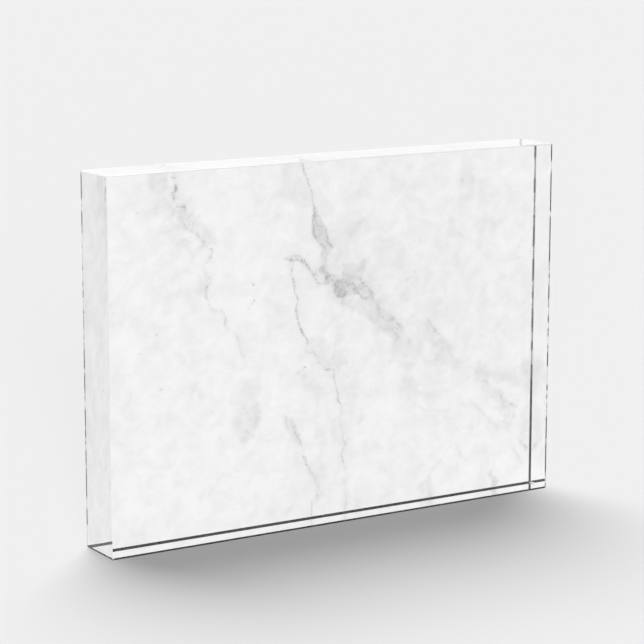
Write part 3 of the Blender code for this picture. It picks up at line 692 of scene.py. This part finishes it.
def sharpen_front_left(shape, low, high):
    """Narrows the upright facets of the front left edge, all but their ends, so that it looks sharp."""
    heights = low.z + SHARP_EDGE_ENDS, high.z - SHARP_EDGE_ENDS
    for height in heights:
        cut(shape, (0, 0, height), (0, 0, 1))
    reach = EDGE_WIDTH + NEAR
    for vert in shape.verts:
        at_edge = vert.co.x < low.x + reach and vert.co.y < low.y + reach
        if at_edge and any(abs(vert.co.z - height) < NEAR for height in heights):
            vert.co.x = low.x + (vert.co.x - low.x) * SHARP_EDGE_SHARE
            vert.co.y = low.y + (vert.co.y - low.y) * SHARP_EDGE_SHARE


def faceted_slab(low, high):
    """A block with narrow facets along its edges, each flat face, end and facet in its own slot."""
    shape = bmesh.new()
    bmesh.ops.create_cube(shape, size=1.0)
    bmesh.ops.scale(shape, vec=high - low, verts=shape.verts)
    bmesh.ops.translate(shape, vec=(low + high) / 2, verts=shape.verts)
    bmesh.ops.bevel(
        shape,
        geom=list(shape.edges),
        offset=EDGE_WIDTH,
        offset_type="OFFSET",
        affect="EDGES",
        segments=EDGE_FACETS,
        profile=0.5,
    )
    # How dark each facet is painted, standing in for shade and dark reflections along the edges
    shades = shape.faces.layers.float_vector.new("painted_edge_shade")
    for face in shape.faces:
        if max(abs(part) for part in face.normal) < SQUARE_ON:
            face.material_index = EDGE_SLOT
            face[shades] = facet_shade(face.normal)
        else:
            face.material_index = END_SLOT if abs(face.normal.x) > SQUARE_ON else FLAT_SLOT
    for beside, width, sides, shade in EDGE_STRIPS:
        place, normal = strip_plane(low, high, beside, width)
        cut(shape, place, normal)
        for face in shape.faces:
            outside = (face.calc_center_median() - place).dot(normal) > 0
            if outside and face.material_index != EDGE_SLOT and facing_sides(face.normal)[0] in sides:
                face.material_index = EDGE_SLOT
                face[shades] = Vector(shade)
    sharpen_front_left(shape, low, high)
    return shape


def clear_slab():
    """The cast slab, back to where the print is bonded, with its edges as narrow facets, some of them painted
    dark as shade.
    """
    low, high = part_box("acrylic_block")
    high.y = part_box("marble_print")[0].y + PRINT_BITE
    shape = faceted_slab(low, high)
    mesh = bpy.data.meshes.new("clear_slab")
    shape.to_mesh(mesh)
    shape.free()
    mesh.materials.append(clear_finish("polished_clear", 1.0))
    mesh.materials.append(clear_finish("polished_end", END_SHADE_TINT, END_GLOSS, ior=END_IOR))
    mesh.materials.append(facet_finish())
    slab = link(bpy.data.objects.new("clear_slab", mesh))
    slab.visible_diffuse = False
    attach(slab, "root")
    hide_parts("acrylic_block", "optical_adhesive_film")


def smooth_route(points):
    """The points of a smooth curve through a vein's points."""
    points = np.array(points, dtype=float)
    padded = np.vstack([2 * points[0] - points[1], points, 2 * points[-1] - points[-2]])
    curve = []
    for before, start, end, after in zip(padded, padded[1:], padded[2:], padded[3:]):
        for step in range(CURVE_STEPS):
            t = step / CURVE_STEPS
            bend = (2 * before - 5 * start + 4 * end - after) * t * t
            bend += (3 * (start - end) + after - before) * t ** 3
            curve.append(start + 0.5 * ((end - before) * t + bend))
    curve.append(points[-1])
    return np.array(curve)


def nearest_vein(places, routes):
    """For each place: the offset to the nearest vein, its width and darkness there, and 1 for a speck."""
    best = np.full(len(places), np.inf)
    offset = np.full((len(places), 2), VEIN_REACH)
    shape_here = np.full((len(places), 3), (1.0, 0.0, 0.0))
    for route in routes:
        curve = smooth_route(route)
        speck = float(len(route) == 2 and route[0][1] == route[1][1])
        low, high = curve[:, :2].min(axis=0) - VEIN_REACH, curve[:, :2].max(axis=0) + VEIN_REACH
        near = np.flatnonzero(np.all((places > low) & (places < high), axis=1))
        for start, end in zip(curve, curve[1:]):
            run = end[:2] - start[:2]
            along = np.clip(((places[near] - start[:2]) @ run) / max(run @ run, 1e-9), 0, 1)[:, None]
            away = start[:2] + along * run - places[near]
            here = start[2:] + along * (end[2:] - start[2:])
            reach = np.hypot(away[:, 0], away[:, 1]) / (here[:, 0] + VEIN_MARGIN)
            closer = reach < best[near]
            best[near[closer]] = reach[closer]
            offset[near[closer]] = away[closer]
            shape_here[near[closer], :2] = here[closer]
            shape_here[near[closer], 2] = speck
    return offset, shape_here


def soft_patches(places, patches):
    """Sum of soft oval patches, as darkness at each place."""
    total = np.zeros(len(places))
    for x, z, across, up, tilt, darkness in patches:
        turn = math.radians(tilt)
        side = (places[:, 0] - x) * math.cos(turn) + (places[:, 1] - z) * math.sin(turn)
        rise = -(places[:, 0] - x) * math.sin(turn) + (places[:, 1] - z) * math.cos(turn)
        total += darkness * np.exp(-((side / across) ** 2 + (rise / up) ** 2))
    return total


def frays(places):
    """How far, in millimetres, the border of a grey field is pushed in or out at each place."""
    pushes = []
    for x, z in places:
        coarse = noise.noise(Vector((x, z, FRAY_LEVEL)) / FRAY_SIZE)
        fine = noise.noise(Vector((x, z, FINE_FRAY_LEVEL)) / FINE_FRAY_SIZE)
        pushes.append(FRAY_REACH * (coarse + FINE_FRAY_SHARE * fine))
    return np.array(pushes)


def grey_fields(places, fields):
    """Sum of the fields inside soft, frayed outlines, as darkness at each place."""
    total = np.zeros(len(places))
    pushes = frays(places)
    for darkness, softness, outline in fields:
        corners = np.array(outline, dtype=float)
        border = np.full(len(places), np.inf)
        inside = np.zeros(len(places), dtype=bool)
        for start, end in zip(corners, np.roll(corners, -1, axis=0)):
            run = end - start
            along = np.clip(((places - start) @ run) / (run @ run), 0, 1)[:, None]
            away = start + along * run - places
            border = np.minimum(border, np.hypot(away[:, 0], away[:, 1]))
            if run[1]:
                crossed = (places[:, 1] < start[1]) != (places[:, 1] < end[1])
                crossing = start[0] + (places[:, 1] - start[1]) / run[1] * run[0]
                inside ^= crossed & (places[:, 0] < crossing)
        depth = np.where(inside, border, -border) + pushes
        depth = np.clip(0.5 + depth / (2 * FIELD_BLUR * softness), 0, 1)
        total += darkness * depth * depth * (3 - 2 * depth)
    return total


def wandering(places, size, reach):
    """The places, each moved a little by smooth noise, in millimetres."""
    moved = places.copy()
    for index, (x, z) in enumerate(places):
        push = noise.noise_vector(Vector((x, z, 0.0)) / size)
        moved[index] += (push.x * reach, push.z * reach)
    return moved


def store(mesh, name, values):
    values = np.asarray(values, dtype=np.float32)
    kind = "FLOAT_VECTOR" if values.ndim == 2 else "FLOAT"
    layer = mesh.attributes.new(name, kind, "POINT")
    layer.data.foreach_set("vector" if values.ndim == 2 else "value", values.ravel())


def print_mesh():
    """The printed sheet, its front divided finely enough to carry the veins."""
    low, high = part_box("marble_print")
    size, middle = high - low, (low + high) / 2
    shape = bmesh.new()
    columns, rows = round(size.x / PRINT_GRID), round(size.z / PRINT_GRID)
    bmesh.ops.create_grid(shape, x_segments=columns, y_segments=rows, size=0.5)
    for vert in shape.verts:
        vert.co = Vector((middle.x + vert.co.x * size.x, low.y, middle.z + vert.co.y * size.z))
    corners = [vert for vert in shape.verts if len(vert.link_faces) == 1]
    bmesh.ops.bevel(
        shape,
        geom=corners,
        offset=PRINT_CORNER,
        offset_type="OFFSET",
        affect="VERTICES",
        segments=PRINT_CORNER_FACETS,
        profile=0.5,
    )
    rim = [edge for edge in shape.edges if edge.is_boundary]
    walls = bmesh.ops.extrude_edge_only(shape, edges=rim)["geom"]
    moved = [item for item in walls if isinstance(item, bmesh.types.BMVert)]
    bmesh.ops.translate(shape, verts=moved, vec=(0, size.y, 0))
    back_rim = [edge for edge in shape.edges if edge.is_boundary]
    bmesh.ops.edgeloop_fill(shape, edges=back_rim)
    bmesh.ops.recalc_face_normals(shape, faces=shape.faces)
    for face in shape.faces:
        face.material_index = 0 if face.normal.y < -SQUARE_ON else 1
    mesh = bpy.data.meshes.new("marble_print_sheet")
    shape.to_mesh(mesh)
    shape.free()
    return mesh


def store_marble(mesh):
    """Keeps on each point of the print where its veins lie, and how grey its stone is."""
    coordinates = np.empty(len(mesh.vertices) * 3, dtype=np.float32)
    mesh.vertices.foreach_get("co", coordinates)
    places = coordinates.reshape(-1, 3)[:, (0, 2)].astype(float) / MM
    for layer, routes in (("long", LONG_VEINS), ("crossing", CROSSING_VEINS + speck_routes())):
        offset, shape_here = nearest_vein(places, routes)
        distance = np.hypot(offset[:, 0], offset[:, 1])
        store(mesh, layer + "_offset", np.column_stack([offset[:, 0], distance, offset[:, 1]]))
        store(mesh, layer + "_shape", shape_here)
    loose = places
    for size, reach in LOOSE_STEPS:
        loose = wandering(loose, size, reach)
    store(mesh, "cloud", soft_patches(loose, CLOUDS) + grey_fields(loose, FIELDS))
    store(mesh, "veil", soft_patches(loose, VEILS))
    store(mesh, "grain", soft_patches(loose, GRAINS))


def marble_print():
    """The print: marble on the front, plain paper on the edges and the back."""
    mesh = print_mesh()
    store_marble(mesh)
    mesh.materials.append(marble_finish())
    mesh.materials.append(paper_finish())
    sheet = link(bpy.data.objects.new("marble_print_sheet", mesh))
    sheet.visible_diffuse = False
    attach(sheet, "root")
    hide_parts("marble_print")


def speck_routes():
    """The specks as very short, level veins."""
    return tuple(
        ((x, z, radius, darkness), (x + SPECK_LENGTH, z, radius, darkness))
        for x, z, radius, darkness in SPECKS
    )


def vein_darkness(tree, layer, nudge, beads):
    """Darkness of one layer of veins: a fine core that breaks into beads, and a faint skirt."""
    offset = add(tree, "ShaderNodeAttribute", attribute_name=layer + "_offset").outputs["Vector"]
    shape = add(tree, "ShaderNodeAttribute", attribute_name=layer + "_shape").outputs["Vector"]
    distance = add(tree, "ShaderNodeSeparateXYZ", {0: offset}).outputs["Y"]
    parts = add(tree, "ShaderNodeSeparateXYZ", {0: shape})
    width, darkness = parts.outputs["X"], parts.outputs["Y"]
    across = calc_vector(tree, "MULTIPLY", offset, (1.0, 0.0, 1.0))
    moved = calc_vector(tree, "LENGTH", calc_vector(tree, "ADD", across, nudge))
    least = calc(tree, "SUBTRACT", distance, PRINT_GRID / MM)
    least = calc(tree, "SUBTRACT", least, calc_vector(tree, "LENGTH", nudge))
    reach = calc(tree, "DIVIDE", calc(tree, "MAXIMUM", moved, least), width)
    fall = calc(tree, "POWER", calc(tree, "DIVIDE", reach, CORE_SHARE), 2.0)
    core = calc(tree, "EXPONENT", calc(tree, "MULTIPLY", fall, -1.0))
    skirt = calc(tree, "EXPONENT", calc(tree, "MULTIPLY", reach, -SKIRT_FALL))
    skirt = calc(tree, "MULTIPLY", skirt, SKIRT_DARKNESS)
    steady = add(tree, "ShaderNodeMix", {0: parts.outputs["Z"], 2: beads, 3: 1.0}).outputs[0]
    both = calc(tree, "ADD", calc(tree, "MULTIPLY", core, steady), skirt)
    return calc(tree, "MULTIPLY", both, darkness)


def marble_finish():
    """Satin print of white marble with grey veins, fields, clouds and grains."""
    made, tree, shader = new_material("marble_print", Roughness=MARBLE_ROUGHNESS, Specular_IOR_Level=0.0)
    place = millimetres(tree)
    level = calc_vector(tree, "MULTIPLY", place, (1.0, 0.0, 1.0))
    pushes = []
    for spec, reach in ((WANDER_NOISE, WANDER_REACH), (TREMBLE_NOISE, TREMBLE_REACH)):
        push = calc_vector(tree, "SUBTRACT", cloudy(tree, level, *spec, output="Color"), (0.5, 0.5, 0.5))
        pushes.append(scaled(tree, push, reach))
    nudge = calc_vector(tree, "ADD", *pushes)
    nudge = calc_vector(tree, "MULTIPLY", nudge, (1.0, 0.0, 1.0))
    beads = ramp(tree, cloudy(tree, level, *BEAD_NOISE), *BEAD_RAMP)
    patchy = ramp(tree, cloudy(tree, level, *PATCH_NOISE), *PATCH_RAMP)
    grains = ramp(tree, cloudy(tree, level, *GRAIN_NOISE), *GRAIN_RAMP)
    mottle = calc(tree, "SUBTRACT", cloudy(tree, level, *MOTTLE_NOISE), 0.5)
    cloud = add(tree, "ShaderNodeAttribute", attribute_name="cloud").outputs["Fac"]
    grain = add(tree, "ShaderNodeAttribute", attribute_name="grain").outputs["Fac"]
    layers = (
        vein_darkness(tree, "long", nudge, beads),
        vein_darkness(tree, "crossing", nudge, beads),
        add(tree, "ShaderNodeAttribute", attribute_name="veil").outputs["Fac"],
        calc(tree, "MULTIPLY", cloud, patchy),
        calc(tree, "MULTIPLY", grain, grains),
        calc(tree, "MULTIPLY", mottle, MOTTLE_DARKNESS),
    )
    darkness = layers[0]
    for layer in layers[1:]:
        darkness = calc(tree, "ADD", darkness, layer)
    darkness = calc(tree, "MINIMUM", darkness, DARKEST)
    tone = calc(tree, "MULTIPLY", calc(tree, "SUBTRACT", 1.0, darkness), MARBLE_WHITE)
    tree.links.new(grey_colour(tree, tone), shader.inputs["Base Color"])
    return made


def paper_finish():
    """Uncoated back and cut edges of the print, with the faint fibres of photo paper."""
    made, tree, shader = new_material("print_paper", Roughness=PAPER_ROUGHNESS)
    fibres = ramp(tree, cloudy(tree, millimetres(tree), *FIBRE_NOISE), *FIBRE_RAMP)
    tree.links.new(grey_colour(tree, fibres), shader.inputs["Base Color"])
    return made


def backing_finish():
    """White plastic sheet with a fine moulded grain and slightly uneven sheen."""
    made, tree, shader = new_material("white_plastic", IOR=BACKING_IOR)
    place = millimetres(tree)
    grain = cloudy(tree, place, *MOULD_NOISE)
    haze = cloudy(tree, place, *HAZE_NOISE)
    tone = calc(tree, "ADD", ramp(tree, haze, *HAZE_RAMP), ramp(tree, grain, *MOULD_RAMP))
    tree.links.new(grey_colour(tree, calc(tree, "ADD", tone, BACKING_WHITE)), shader.inputs["Base Color"])
    tree.links.new(ramp(tree, haze, *SHEEN_RAMP), shader.inputs["Roughness"])
    bump = add(tree, "ShaderNodeBump", {
        "Strength": BACKING_BUMP, "Distance": BACKING_RELIEF, "Height": grain,
    })
    tree.links.new(bump.outputs[0], shader.inputs["Normal"])
    return made


def dress_backing():
    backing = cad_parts["rear_backing_sheet"]
    backing.data.materials.clear()
    backing.data.materials.append(backing_finish())
    backing.visible_diffuse = False


noise.seed_set(NOISE_SEED)
make_camera()
make_lamp("key", **KEY_LAMP)
make_lamp("fill", **FILL_LAMP)
make_world()
make_floor()
clear_slab()
marble_print()
dress_backing()
bpy.context.scene.view_settings.view_transform = "Standard"
